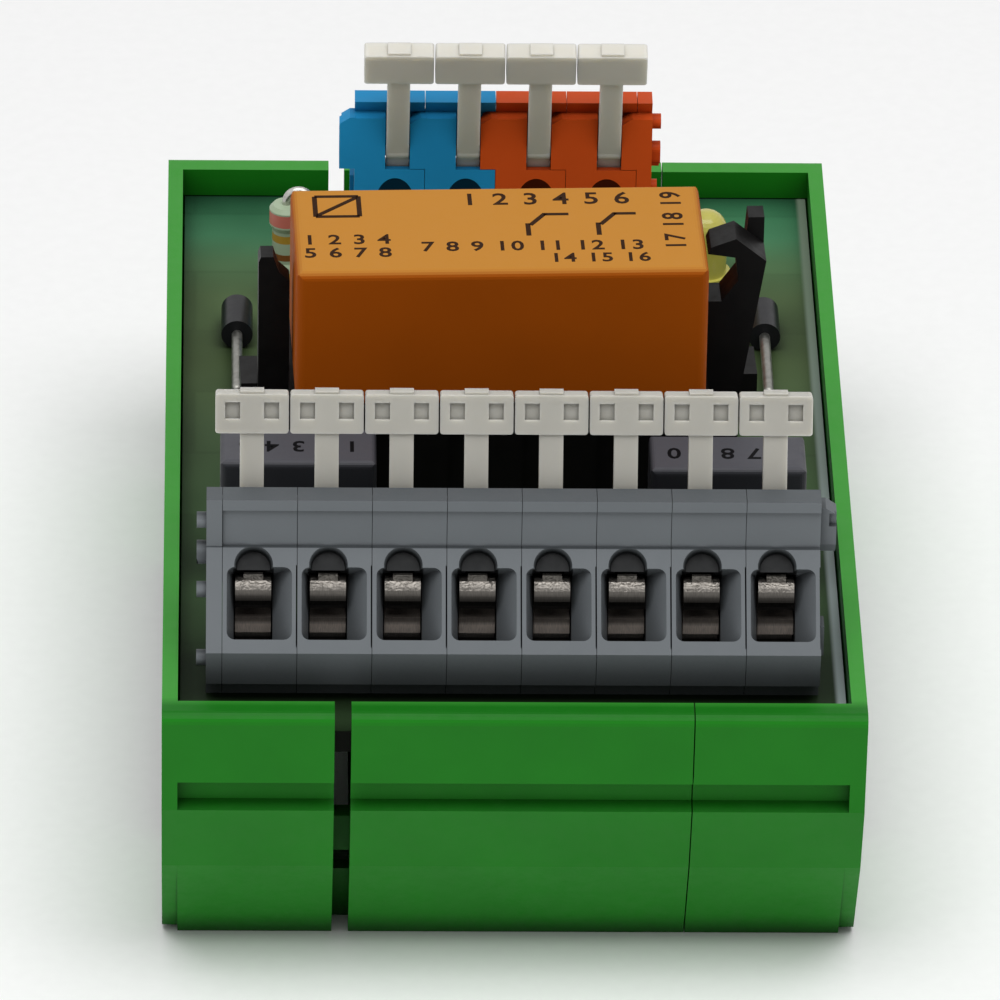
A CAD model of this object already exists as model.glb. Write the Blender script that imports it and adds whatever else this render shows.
import math

import bpy
from mathutils import Matrix, Vector


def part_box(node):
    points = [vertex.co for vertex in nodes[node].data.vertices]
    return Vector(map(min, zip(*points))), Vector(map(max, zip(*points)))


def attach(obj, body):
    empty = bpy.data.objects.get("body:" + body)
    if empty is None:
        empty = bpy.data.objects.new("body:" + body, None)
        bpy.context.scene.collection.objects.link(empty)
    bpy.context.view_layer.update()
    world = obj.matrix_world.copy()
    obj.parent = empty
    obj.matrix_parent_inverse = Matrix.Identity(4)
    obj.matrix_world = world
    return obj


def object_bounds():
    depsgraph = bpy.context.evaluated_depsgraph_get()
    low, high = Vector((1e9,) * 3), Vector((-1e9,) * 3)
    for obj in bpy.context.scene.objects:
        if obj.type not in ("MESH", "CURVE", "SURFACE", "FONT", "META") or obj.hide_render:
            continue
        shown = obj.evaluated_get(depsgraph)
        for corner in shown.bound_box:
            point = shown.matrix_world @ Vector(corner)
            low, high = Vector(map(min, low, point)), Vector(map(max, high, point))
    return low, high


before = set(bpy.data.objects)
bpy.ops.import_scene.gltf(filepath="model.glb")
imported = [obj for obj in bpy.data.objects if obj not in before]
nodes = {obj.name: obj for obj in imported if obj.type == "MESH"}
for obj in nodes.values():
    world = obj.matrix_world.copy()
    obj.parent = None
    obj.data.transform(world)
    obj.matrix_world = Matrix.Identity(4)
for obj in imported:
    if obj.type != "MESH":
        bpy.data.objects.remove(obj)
lo0, hi0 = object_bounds()

MM = 0.001
PITCH = 5 * MM

CARRIER = ["left_side_element", "base_element", "right_side_element"]
GREY = [f"grey_terminal_{i}" for i in range(1, 9)] + ["grey_end_plate"]
ORANGE = ["orange_terminal_1", "orange_terminal_2", "orange_end_plate"]
BLUE = ["blue_terminal_1", "blue_terminal_2"]
FRONT_LEVERS = [f"front_lever_{i}" for i in range(1, 9)]
REAR_LEVERS = [f"rear_lever_{i}" for i in range(1, 5)]

board_lo, board_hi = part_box("circuit_board")
relay_lo, relay_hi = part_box("relay_case")
board_top = board_hi.z


# ---------------------------------------------------------------- helpers

def rgb(hex_code, k=1.0):
    """An sRGB hex colour as linear RGBA, made darker or lighter by k."""
    channels = []
    for i in (0, 2, 4):
        c = int(hex_code[i:i + 2], 16) / 255
        c = c / 12.92 if c <= 0.04045 else ((c + 0.055) / 1.055) ** 2.4
        channels.append(min(1.0, c * k))
    return (*channels, 1.0)


def per(size):
    """A pattern's scale, from the size of one of its features in millimetres."""
    return 1 / (size * MM)


def plug(tree, node, **inputs):
    """Links or sets a node's inputs, each by its name, or by its number as i0, i1 and so on."""
    for key, value in inputs.items():
        socket = node.inputs[int(key[1:]) if key[1:].isdigit() else key.replace("_", " ")]
        if isinstance(value, bpy.types.NodeSocket):
            tree.links.new(value, socket)
        else:
            socket.default_value = value


def add(tree, kind, settings=None, stops=(), output=0, **inputs):
    """Adds a node with its settings, ramp stops and inputs, and gives one output (of a Mix, its colour)."""
    node = tree.nodes.new("ShaderNode" + kind)
    for key, value in (settings or {}).items():
        setattr(node, key, value)
    if stops:
        for element, (position, color) in zip(node.color_ramp.elements, (stops[0], stops[-1])):
            element.position, element.color = position, color
        for position, color in stops[1:-1]:
            node.color_ramp.elements.new(position).color = color
    plug(tree, node, **inputs)
    return node.outputs[2 if kind == "Mix" else output]


def new_material(name):
    """A material with its tree, its main shader and the coordinates that its patterns are drawn in."""
    mat = bpy.data.materials.new(name)
    mat.use_nodes = True
    tree = mat.node_tree
    shader = next(n for n in tree.nodes if n.type == "BSDF_PRINCIPLED")
    return mat, tree, shader, add(tree, "TexCoord", output="Object")


def dress(mat, *names):
    """Gives CAD nodes their material."""
    for n in names:
        nodes[n].data.materials.clear()
        nodes[n].data.materials.append(mat)


def finish_piece(name, mat):
    """Puts the active piece's place into its mesh, dresses it and lets it ride on the module."""
    bpy.ops.object.transform_apply(location=True, rotation=True, scale=True)
    obj = bpy.context.object
    obj.name = name
    obj.data.materials.clear()
    obj.data.materials.append(mat)
    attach(obj, "module")


# ---------------------------------------------------------------- camera

ELEVATION, TURN, ROLL = (math.radians(a) for a in (30.4761, -1.5563, 1.0542))
DISTANCE = 834.154 * MM
FOCAL_LENGTH, SENSOR = 432.32, 36
AIM_LEFT, AIM_HEIGHT = 0.248 * MM, 16.202 * MM

aim = Vector(((lo0.x + hi0.x) / 2 - AIM_LEFT, (lo0.y + hi0.y) / 2, lo0.z + AIM_HEIGHT))
back = Vector((math.sin(TURN) * math.cos(ELEVATION), -math.cos(TURN) * math.cos(ELEVATION),
               math.sin(ELEVATION)))
side = Vector((math.cos(TURN), math.sin(TURN), 0))
up = back.cross(side)
right = math.cos(ROLL) * side + math.sin(ROLL) * up
top = -math.sin(ROLL) * side + math.cos(ROLL) * up

bpy.ops.object.camera_add()
camera = bpy.context.object
camera.name = "camera"
camera.matrix_world = (Matrix.Translation(aim + back * DISTANCE)
                       @ Matrix((right, top, back)).transposed().to_4x4())
camera.data.lens = FOCAL_LENGTH
camera.data.sensor_width = SENSOR
camera.data.clip_start = 0.05
camera.data.clip_end = 20
bpy.context.scene.camera = camera
bpy.context.scene.view_settings.view_transform = "Standard"


# ---------------------------------------------------------------- light: one softbox in a white room

SOFTBOX_AT = (0.03, -0.2, 0.75)
SOFTBOX_SIZE = (0.8, 0.5)
SOFTBOX_WATTS = 5.4
# The room's own light; where it is seen or mirrored it is plain white
AMBIENT = 0.34
FLOOR_SIZE = 6
FLOOR_DROP = 0.02 * MM

bpy.ops.object.light_add(type="AREA", location=SOFTBOX_AT)
softbox = bpy.context.object
softbox.name = "overhead softbox"
softbox.data.shape = "RECTANGLE"
softbox.data.size, softbox.data.size_y = SOFTBOX_SIZE
softbox.data.energy = SOFTBOX_WATTS
softbox.rotation_mode = "QUATERNION"
softbox.rotation_quaternion = Vector(SOFTBOX_AT).to_track_quat("Z", "Y")

world = bpy.data.worlds.new("white room")
bpy.context.scene.world = world
world.use_nodes = True
tree = world.node_tree
rays = add(tree, "LightPath").node.outputs
seen = rays["Is Camera Ray"]
for other in ("Is Glossy Ray", "Is Transmission Ray"):
    seen = add(tree, "Math", {"operation": "MAXIMUM"}, i0=seen, i1=rays[other])
plug(tree, next(n for n in tree.nodes if n.type == "BACKGROUND"), Color=(1, 1, 1, 1),
     Strength=add(tree, "MapRange", Value=seen, To_Min=AMBIENT, To_Max=1.0))

bpy.ops.mesh.primitive_plane_add(size=FLOOR_SIZE, location=(0, 0, lo0.z - FLOOR_DROP))
floor = bpy.context.object
floor.name = "floor"
# Uncoated paper: matt, with a fibre drawn at 1.1 mm, coarser than it is
mat, tree, shader, where = new_material("white paper sweep")
fibre = add(tree, "TexNoise", Vector=where, Scale=per(1.111))
plug(tree, shader, Roughness=0.9, Specular_IOR_Level=0.0,
     Base_Color=add(tree, "ValToRGB", stops=[(0.3, rgb("F7F7F7")), (0.7, rgb("F9F9F9"))], Fac=fibre))
floor.data.materials.append(mat)


# ---------------------------------------------------------------- materials

MIX = {"data_type": "RGBA"}
MULTIPLY = {"data_type": "RGBA", "blend_type": "MULTIPLY"}

# Sizes of the patterns in millimetres
CLOUD = 5.556       # uneven tone of moulded plastic
WEAR = 1.111        # handled and duller spots
GRAIN = 0.05        # fine grain of a moulding tool
BRUSHING = 0.4      # rolling lines, drawn coarser than they are so that they show
FOLD = 0.3846       # folds in the spring's neck
RESIST_CLOUD = 11.11
WEAVE = 0.3333      # glass cloth under the resist, drawn coarser than it is so that it shows
LENS_CLOUD = 2.5
FILL_LENGTH, FILL_WIDTH, FILL_GAP = 13, 8.5, 0.3    # copper fills that show through the resist

# From the board's front edge, in millimetres: the carrier's front rim ends and its inside begins
RIM_END, INSIDE = -0.4, 0.6
# From the board's right edge, in millimetres: the laminate is bare, and the resist is closed
BARE_TO, RESIST_FROM = 0.4, 0.8
# Dust lies on faces that look up by more than this, as the upward part of their normal
DUST_FROM = 0.4

# Places of the round test holes in a row of poles, in millimetres: each pole's front leans back at 45
# degrees from SLOPE_FOOT above the board, and the hole's middle lies HOLE_UP along that slope
ROW_FRONT = 33.9
SLOPE_FOOT = 4.3
HOLE_UP = 6.1
HOLE_ACROSS = 2.09
HOLE_RADIUS = 1.36
# How deep in a hole it is darkest, and how much of the light is gone there
HOLE_DARK_AT = 0.6
HOLE_DARK = 0.93
# Where a row begins, in millimetres, and which way its poles follow each other
FRONT_ROW = (-19.52, 1)
REAR_ROW = (9.7, -1)


def hollows(tree, reach, least):
    """Dirt that gathers in hollows and corners: 1 in the open, down to least in the deepest ones."""
    hollow = add(tree, "AmbientOcclusion", {"samples": 6}, output="AO", Distance=reach * MM)
    return add(tree, "MapRange", Value=hollow, From_Min=0.25, From_Max=0.9, To_Min=least, To_Max=1.0)


def hole_shade(tree, where, start, way):
    """How light fades in the blind test hole of the nearest pole: 1 at its rim, almost 0 at its depth."""
    place = add(tree, "VectorMath", {"operation": "SUBTRACT"}, i0=where,
                i1=(start * MM, -way * ROW_FRONT * MM, board_top + SLOPE_FOOT * MM))
    place = add(tree, "VectorMath", {"operation": "MULTIPLY"}, i0=place, i1=(way, way, 1))
    x, y, z = add(tree, "SeparateXYZ", Vector=place).node.outputs
    x = add(tree, "Math", {"operation": "FLOORED_MODULO"}, i0=x, i1=PITCH)
    across = add(tree, "Math", {"operation": "SUBTRACT"}, i0=x, i1=HOLE_ACROSS * MM)
    climb = add(tree, "Math", {"operation": "ADD"}, i0=y, i1=z)
    climb = add(tree, "Math", {"operation": "MULTIPLY_ADD"}, i0=climb, i1=math.sqrt(0.5), i2=-HOLE_UP * MM)
    depth = add(tree, "Math", {"operation": "SUBTRACT"}, i0=y, i1=z)
    depth = add(tree, "Math", {"operation": "MULTIPLY"}, i0=depth, i1=math.sqrt(0.5))
    off = add(tree, "VectorMath", {"operation": "LENGTH"}, output="Value",
              i0=add(tree, "CombineXYZ", X=across, Y=climb))
    inside = add(tree, "Math", {"operation": "LESS_THAN"}, i0=off, i1=HOLE_RADIUS * MM)
    fade = add(tree, "MapRange", Value=depth, From_Min=0.0, From_Max=HOLE_DARK_AT * MM, To_Max=HOLE_DARK)
    fade = add(tree, "Math", {"operation": "MULTIPLY"}, i0=fade, i1=inside)
    return add(tree, "Math", {"operation": "SUBTRACT"}, i0=1.0, i1=fade)


def plastic(name, hex_code, rough=0.42, vary=0.05, spec=0.2, dust=None, rim=None, creases=None, row=None,
            milky=False):
    """Moulded plastic: uneven tone, grain and wear, then what has settled on it.

    dust is the colour and the amount of it on what looks up, rim its colour at the front rim, creases
    the reach and the depth of the dirt in hollows, and row the row whose test holes go dark.
    """
    mat, tree, shader, where = new_material(name)
    cloud = add(tree, "TexNoise", Vector=where, Scale=per(CLOUD), Detail=3.0)
    tones = [(0.3, rgb(hex_code, 1 - vary)), (0.7, rgb(hex_code, 1 + vary))]
    color = add(tree, "ValToRGB", stops=tones, Fac=cloud)
    if dust:
        settled, amount = rgb(dust[0]), dust[1]
        if rim:
            inner = add(tree, "MapRange", Value=add(tree, "SeparateXYZ", output="Y", Vector=where),
                        From_Min=board_lo.y + RIM_END * MM, From_Max=board_lo.y + INSIDE * MM)
            settled = add(tree, "Mix", MIX, i0=inner, i6=rgb(rim), i7=settled)
        normal = add(tree, "NewGeometry", output="Normal")
        upward = add(tree, "MapRange", Value=add(tree, "SeparateXYZ", output="Z", Vector=normal),
                     From_Min=DUST_FROM, From_Max=1.0, To_Max=amount)
        color = add(tree, "Mix", MIX, i0=upward, i6=color, i7=settled)
    if creases:
        color = add(tree, "Mix", MULTIPLY, i0=1.0, i6=color, i7=hollows(tree, *creases))
    if row:
        color = add(tree, "Mix", MULTIPLY, i0=1.0, i6=color, i7=hole_shade(tree, where, *row))
    wear = add(tree, "TexNoise", Vector=where, Scale=per(WEAR), Detail=6.0, Roughness=0.7)
    grain = add(tree, "TexNoise", Vector=where, Scale=per(GRAIN), Detail=2.0)
    plug(tree, shader, Base_Color=color, Specular_IOR_Level=spec,
         Roughness=add(tree, "MapRange", Value=wear, From_Min=0.35, From_Max=0.7, To_Min=rough - 0.07,
                       To_Max=rough + 0.1),
         Normal=add(tree, "Bump", Strength=0.15, Distance=0.02 * MM, Height=grain))
    if milky:
        plug(tree, shader, Subsurface_Weight=1.0, Subsurface_Radius=(1.0, 0.95, 0.85),
             Subsurface_Scale=0.9 * MM)
    return mat


def metal(name, hex_code, rough=0.25, stretch=(1, 1, 1), crumple=None, stain=None, metallic=1.0):
    """Sheet metal or wire with its rolling lines drawn out along one way.

    crumple is the height above the board from which it is folded, and stain a list of such heights,
    each with the share of its colour that the metal keeps there. Heights are in millimetres.
    """
    mat, tree, shader, where = new_material(name)
    drawn = add(tree, "Mapping", Vector=where, Scale=stretch)
    lines = add(tree, "TexNoise", Vector=drawn, Scale=per(BRUSHING), Detail=4.0)
    height = lines
    if crumple:
        folds = add(tree, "TexNoise", Vector=where, Scale=per(FOLD), Detail=3.0, Distortion=1.2)
        neck = add(tree, "MapRange", Value=add(tree, "SeparateXYZ", output="Z", Vector=where),
                   From_Min=board_top + (crumple - 0.3) * MM, From_Max=board_top + crumple * MM,
                   To_Max=18.0)
        height = add(tree, "Math", {"operation": "MULTIPLY_ADD"}, i0=folds, i1=neck, i2=lines)
    tones = [(0.3, rgb(hex_code, 0.75)), (0.7, rgb(hex_code, 1.15))]
    color = add(tree, "ValToRGB", stops=tones, Fac=lines)
    if stain:
        low, high = stain[0][0], stain[-1][0]
        along = add(tree, "MapRange", Value=add(tree, "SeparateXYZ", output="Z", Vector=where),
                    From_Min=board_top + low * MM, From_Max=board_top + high * MM)
        levels = [((z - low) / (high - low), (k, k, k, 1)) for z, k in stain]
        stained = add(tree, "ValToRGB", stops=levels, Fac=along)
        color = add(tree, "Mix", MULTIPLY, i0=1.0, i6=color, i7=stained)
    plug(tree, shader, Metallic=metallic, Base_Color=color,
         Roughness=add(tree, "MapRange", Value=lines, To_Min=rough * 0.6, To_Max=rough * 1.4),
         Normal=add(tree, "Bump", Strength=0.3, Distance=0.02 * MM, Height=height))
    return mat


def laminate():
    """Glass-epoxy board: green resist over copper fills, a bare margin at the right, dark sawn edges."""
    mat, tree, shader, where = new_material("glass-epoxy laminate")
    x, y, _ = add(tree, "SeparateXYZ", Vector=where).node.outputs
    along = add(tree, "MapRange", Value=y, From_Min=board_lo.y, From_Max=board_hi.y)
    resist = [(0.0, "34492E"), (0.4, "3D5636"), (0.55, "4A6040"), (0.67, "546842"), (0.8, "546A45"),
              (0.87, "4C6E4A"), (0.92, "447B57"), (1.0, "336B4A")]
    color = add(tree, "ValToRGB", stops=[(t, rgb(hex_code)) for t, hex_code in resist], Fac=along)
    fills = add(tree, "TexBrick", {"offset": 0.37, "squash": 0.7}, Vector=where, Scale=1.0,
                Color1=rgb("FFFFFF"), Color2=rgb("F0F0F0"), Mortar=rgb("EEEEEE"),
                Mortar_Size=FILL_GAP * MM, Mortar_Smooth=1.0, Brick_Width=FILL_LENGTH * MM,
                Row_Height=FILL_WIDTH * MM)
    cloud = add(tree, "TexNoise", Vector=where, Scale=per(RESIST_CLOUD), Detail=2.0)
    uneven = add(tree, "ValToRGB", stops=[(0.3, rgb("D4D4D4")), (0.7, rgb("FFFFFF"))], Fac=cloud)
    for layer in (fills, uneven, hollows(tree, 3.5, 0.2)):
        color = add(tree, "Mix", MULTIPLY, i0=1.0, i6=color, i7=layer)
    bare = add(tree, "ValToRGB", stops=[(0.3, rgb("8E9998")), (0.8, rgb("6D7D6C"))], Fac=along)
    margin = add(tree, "MapRange", {"interpolation_type": "SMOOTHSTEP"}, Value=x,
                 From_Min=board_hi.x - RESIST_FROM * MM, From_Max=board_hi.x - BARE_TO * MM)
    color = add(tree, "Mix", MIX, i0=margin, i6=color, i7=bare)
    normal = add(tree, "NewGeometry", output="Normal")
    flat = add(tree, "Math", {"operation": "ABSOLUTE"},
               i0=add(tree, "SeparateXYZ", output="Z", Vector=normal))
    color = add(tree, "Mix", MIX, i0=flat, i6=rgb("121510"), i7=color)
    weave = add(tree, "TexNoise", Vector=where, Scale=per(WEAVE))
    plug(tree, shader, Base_Color=color, Roughness=0.5, Specular_IOR_Level=0.06,
         Normal=add(tree, "Bump", Strength=0.1, Distance=0.01 * MM, Height=weave))
    return mat


def lens():
    """Tinted epoxy of a lamp: glossy, and a little of the light goes through it."""
    mat, tree, shader, where = new_material("yellow tinted epoxy")
    cloud = add(tree, "TexNoise", Vector=where, Scale=per(LENS_CLOUD), Detail=2.0)
    plug(tree, shader, Roughness=0.2, Transmission_Weight=0.25, IOR=1.5, Specular_IOR_Level=0.3,
         Base_Color=add(tree, "ValToRGB", stops=[(0.3, rgb("C4BD55")), (0.7, rgb("CFC864"))], Fac=cloud))
    return mat


def resistor_coating():
    """Pale green lacquer, a little glossy, with colour rings between the resistor's two ends."""
    mat, tree, shader, where = new_material("resistor coating")
    lo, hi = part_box("resistor")
    along = add(tree, "MapRange", Value=add(tree, "SeparateXYZ", output="Z", Vector=where),
                From_Min=lo.z, From_Max=hi.z)
    plain = "9DAE92"
    rings = [(0.0, plain), (0.1, "B8903A"), (0.2, plain), (0.34, "7A4A22"), (0.42, plain),
             (0.56, "A9862F"), (0.66, plain), (0.78, "BE6A5C"), (0.93, plain)]
    color = add(tree, "ValToRGB", stops=[(t, rgb(hex_code)) for t, hex_code in rings], Fac=along)
    color.node.color_ramp.interpolation = "CONSTANT"
    plug(tree, shader, Base_Color=color, Roughness=0.35, Specular_IOR_Level=0.3)
    return mat


# Pad print: a thin matt film
brown_print = plastic("dark brown pad print", "2E1A0C", rough=0.6, spec=0.05)
black_print = plastic("black pad print", "0C0C0E", rough=0.6, spec=0.05)
# Solder that froze in the air: bright and smooth
solder = metal("solder", "A9ABA8", rough=0.22)

# Carrier: strong green, paler where dust lies, darker along the front rim and in the corners
dress(plastic("green polyamide", "1C7A19", spec=0.12, dust=("4C9E42", 0.5), rim="044C06",
              creases=(2.5, 0.4)), *CARRIER)
# Rail feet: black and almost without shine
dress(plastic("black polyamide", "0C0C0D", spec=0.04), "left_rail_foot", "right_rail_foot")
# Poles: even, silky tones that go darker on top and dark between their ribs
dress(plastic("grey polyamide", "767B7F", vary=0.03, spec=0.12, dust=("474B4E", 0.75),
              creases=(5.0, 0.35), row=FRONT_ROW), *GREY)
dress(plastic("orange polyamide", "DE571F", spec=0.08, dust=("A83E1A", 0.6), creases=(2.0, 0.5),
              row=REAR_ROW), *ORANGE)
dress(plastic("blue polyamide", "2797D0", spec=0.08, dust=("1B74A4", 0.6), creases=(2.0, 0.5),
              row=REAR_ROW), *BLUE)
# Levers: uncoloured plastic that light seeps through; the rear ones stand in less light, so theirs is
# paler
for name, hex_code, levers in (("natural polyamide", "B6B4AC", FRONT_LEVERS),
                               ("paler natural polyamide", "D8D5CB", REAR_LEVERS)):
    dress(plastic(name, hex_code, vary=0.04, rough=0.5, creases=(1.5, 0.75), milky=True), *levers)
# Socket: black with a soft shine on its edges
dress(plastic("black moulding", "0B0A0A", rough=0.45, spec=0.12), "relay_socket", "relay_base")
# Relay: deep amber walls under a dusty, lighter top
dress(plastic("amber relay case", "A04C0A", rough=0.5, vary=0.03, spec=0.03, dust=("C28C3E", 0.75)),
      "relay_case")
# Capacitors: dark walls under a violet grey top
dress(plastic("grey potting shell", "2B2C30", rough=0.45, spec=0.15, dust=("55555B", 0.7)),
      "left_capacitor", "right_capacitor")
# Diodes: black with a clear highlight along their length
dress(plastic("black epoxy", "18181B", rough=0.35), "left_diode", "right_diode")
# Clamp springs: dim steel inside the throat, bright and crumpled at the neck
dress(metal("stainless spring strip", "726E69", rough=0.34, stretch=(8, 1, 1), crumple=7.0,
            stain=[(5.6, 0.3), (6.25, 0.12), (6.5, 0.3), (6.75, 0.7), (7.0, 0.7), (7.15, 1.0)]),
      "front_clamp_springs", "rear_clamp_springs")
# Contact bars: warm, pale metal with a dark edge above and below the band that catches the light
dress(metal("tinned copper", "E8DACE", rough=0.45, stretch=(14, 1, 1), metallic=0.78,
            stain=[(0, 0.8), (1.6, 0.8), (2.4, 0.04), (2.7, 0.5), (3.5, 1.0), (4.15, 1.0), (4.45, 0.3),
                   (4.7, 0.2)]),
      "front_contact_bars", "rear_contact_bars")
# Wires: silvery, and duller on the diodes
dress(metal("tinned wire", "B9B7B2", rough=0.28), "socket_pins", "relay_pins", "capacitor_leads",
      "yellow_lamp_leads", "resistor_leads")
dress(metal("dull tinned wire", "8E8D88", rough=0.45), "diode_leads")
dress(laminate(), "circuit_board")
dress(lens(), "yellow_lamp")
dress(resistor_coating(), "resistor")


# ---------------------------------------------------------------- edges

# Small rounded edges, as moulded pieces have, by their width in millimetres
EDGES = {
    0.12: CARRIER,
    0.06: GREY + ORANGE + BLUE,
    0.11: FRONT_LEVERS + REAR_LEVERS,
    0.08: ["relay_socket", "left_rail_foot", "right_rail_foot"],
}
# Only edges that turn by more than this are rounded
TURN_FROM = math.radians(40)

for width, names in EDGES.items():
    for n in names:
        edge = nodes[n].modifiers.new("edge", "BEVEL")
        edge.width = width * MM
        edge.segments = 2
        edge.limit_method = "ANGLE"
        edge.angle_limit = TURN_FROM
        edge.harden_normals = True
        edge.miter_outer = "MITER_ARC"
for n in ("relay_case", "left_capacitor", "right_capacitor"):
    nodes[n].data.shade_smooth()


# ---------------------------------------------------------------- print on the relay and the capacitors

RELAY_TURN = math.radians(1.9)
PRINT_THICK = 0.012 * MM
LINE = 0.34
COIL_W, COIL_H = 3.0, 2.8
relay_centre = (relay_lo + relay_hi) / 2


def on_relay(x, y):
    """A place on the relay's top, from its middle, in millimetres."""
    spot = Matrix.Rotation(RELAY_TURN, 3, "Z") @ Vector((x, y, 0)) * MM
    return (relay_centre.x + spot.x, relay_centre.y + spot.y, relay_hi.z)


def numbers(name, text, height, at, turn, mat):
    """Plain printed numbers on a face that looks up; height is that of a digit in millimetres."""
    bpy.ops.object.select_all(action="DESELECT")
    bpy.ops.object.text_add(location=at, rotation=(0, 0, turn))
    font = bpy.context.object.data
    font.body = text
    font.size = height * 1.4 * MM
    font.space_character = 1.15
    font.align_x = font.align_y = "CENTER"
    font.offset = 0.035 * MM
    font.extrude = PRINT_THICK
    font.resolution_u = 3
    bpy.ops.object.convert(target="MESH")
    finish_piece(name, mat)


def thicken(thick):
    """Draws the active piece's flat faces upwards and leaves the upper ones selected in edit mode."""
    bpy.ops.object.mode_set(mode="EDIT")
    bpy.ops.mesh.select_all(action="SELECT")
    bpy.ops.mesh.extrude_region_move(TRANSFORM_OT_translate={"value": (0, 0, thick)})


def close_up():
    """Turns all faces outwards and leaves edit mode."""
    bpy.ops.mesh.select_all(action="SELECT")
    bpy.ops.mesh.normals_make_consistent(inside=False)
    bpy.ops.object.mode_set(mode="OBJECT")


def join(pieces):
    """Joins pieces into the last one of them."""
    bpy.ops.object.select_all(action="DESELECT")
    for obj in pieces:
        obj.select_set(True)
    bpy.ops.object.join()


def symbol(name, middle, strips):
    """A printed line symbol: strips of x, y, length and turn around its middle, in one flat piece."""
    made = []
    for x, y, length, turn in strips:
        bpy.ops.object.select_all(action="DESELECT")
        bpy.ops.mesh.primitive_plane_add(size=MM, location=on_relay(middle[0] + x, middle[1] + y),
                                         rotation=(0, 0, RELAY_TURN + math.radians(turn)))
        bpy.context.object.scale = (length, LINE, 1)
        bpy.ops.object.transform_apply(location=True, rotation=True, scale=True)
        made.append(bpy.context.object)
    join(made)
    thicken(PRINT_THICK)
    close_up()
    finish_piece(name, brown_print)


symbol("coil_symbol", (-10.9, 3.3), [
    (0, COIL_H / 2, COIL_W, 0),
    (0, -COIL_H / 2, COIL_W, 0),
    (-COIL_W / 2, 0, COIL_H, 90),
    (COIL_W / 2, 0, COIL_H, 90),
    (0, 0, 3.6, 42),
])
symbol("contact_symbols", (4.6, -0.2), [
    (-2.6, 0, 1.7, 90),
    (-1.9, 1.4, 1.9, 56),
    (-0.6, 2.1, 1.7, 0),
    (2.2, 0, 1.7, 90),
    (2.9, 1.4, 1.9, 56),
    (4.1, 2.1, 1.5, 0),
])
for name, text, height, x, y, turn in (
    ("upper_row_of_numbers", "1 2 3 4 5 6", 1.6, 3.4, 4.0, 0),
    ("left_rows_of_numbers", "1 2 3 4\n5 6 7 8", 1.3, -10.4, -2.3, 0),
    ("lower_row_of_numbers", "7 8 9 10 11 12 13", 1.3, 2.2, -2.5, 0),
    ("bottom_row_of_numbers", "14 15 16", 1.2, 6.7, -4.2, 0),
    ("side_row_of_numbers", "17 18 19", 1.4, 12, 0.9, 90),
):
    numbers(name, text, height, on_relay(x, y), RELAY_TURN + math.radians(turn), brown_print)
for name, text in (("left_capacitor", "1 2 3 4 5"), ("right_capacitor", "6 7 8 9 0")):
    lo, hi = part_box(name)
    numbers(name + "_numbers", text, 1.4, ((lo.x + hi.x) / 2, (lo.y + hi.y) / 2 - 0.1 * MM, hi.z),
            math.pi, black_print)


# ---------------------------------------------------------------- solder

PAD_RADIUS = 0.95
PAD_THICK = 0.04
# From the pad's rim inwards: the width of each step of the solder, and how far it climbs there
FILLET = [(0.2, 0.03), (0.2, 0.1)]
LAST_CLIMB = 0.25
THICK_LEAD, THIN_LEAD = 0.75, 0.6
DIODE_XS, DIODE_YS = (-18.55, 18.55), (6.9, 19.4)
RESISTOR_XS, RESISTOR_Y = (-15.1, -13.4), 21.5
LAMP_X, LAMP_Y, LAMP_LEAD_GAP = 14.65, 23.8, 2.54


def solder_rings(lead, places):
    """Pads with a low fillet that climbs leads of one thickness: the first is modelled and then copied."""
    spots = [(x * MM, y * MM, board_top) for x, y in places]
    bpy.ops.object.select_all(action="DESELECT")
    bpy.ops.mesh.primitive_circle_add(vertices=32, radius=PAD_RADIUS * MM, fill_type="NGON",
                                      location=spots[0])
    thicken(PAD_THICK * MM)
    left = PAD_RADIUS - lead / 2 - sum(inset for inset, _ in FILLET)
    for inset, climb in FILLET + [(left, LAST_CLIMB)]:
        bpy.ops.mesh.inset(thickness=inset * MM, depth=0)
        bpy.ops.transform.translate(value=(0, 0, climb * MM))
    close_up()
    bpy.ops.object.shade_smooth_by_angle(angle=math.radians(50))
    rings = [bpy.context.object]
    for spot in spots[1:]:
        bpy.ops.object.duplicate()
        bpy.context.object.location = spot
        rings.append(bpy.context.object)
    return rings


join(solder_rings(THICK_LEAD, [(x, y) for x in DIODE_XS for y in DIODE_YS])
     + solder_rings(THIN_LEAD, [(x, RESISTOR_Y) for x in RESISTOR_XS]
                    + [(LAMP_X + s * LAMP_LEAD_GAP / 2, LAMP_Y) for s in (-1, 1)]))
finish_piece("solder_rings", solder)
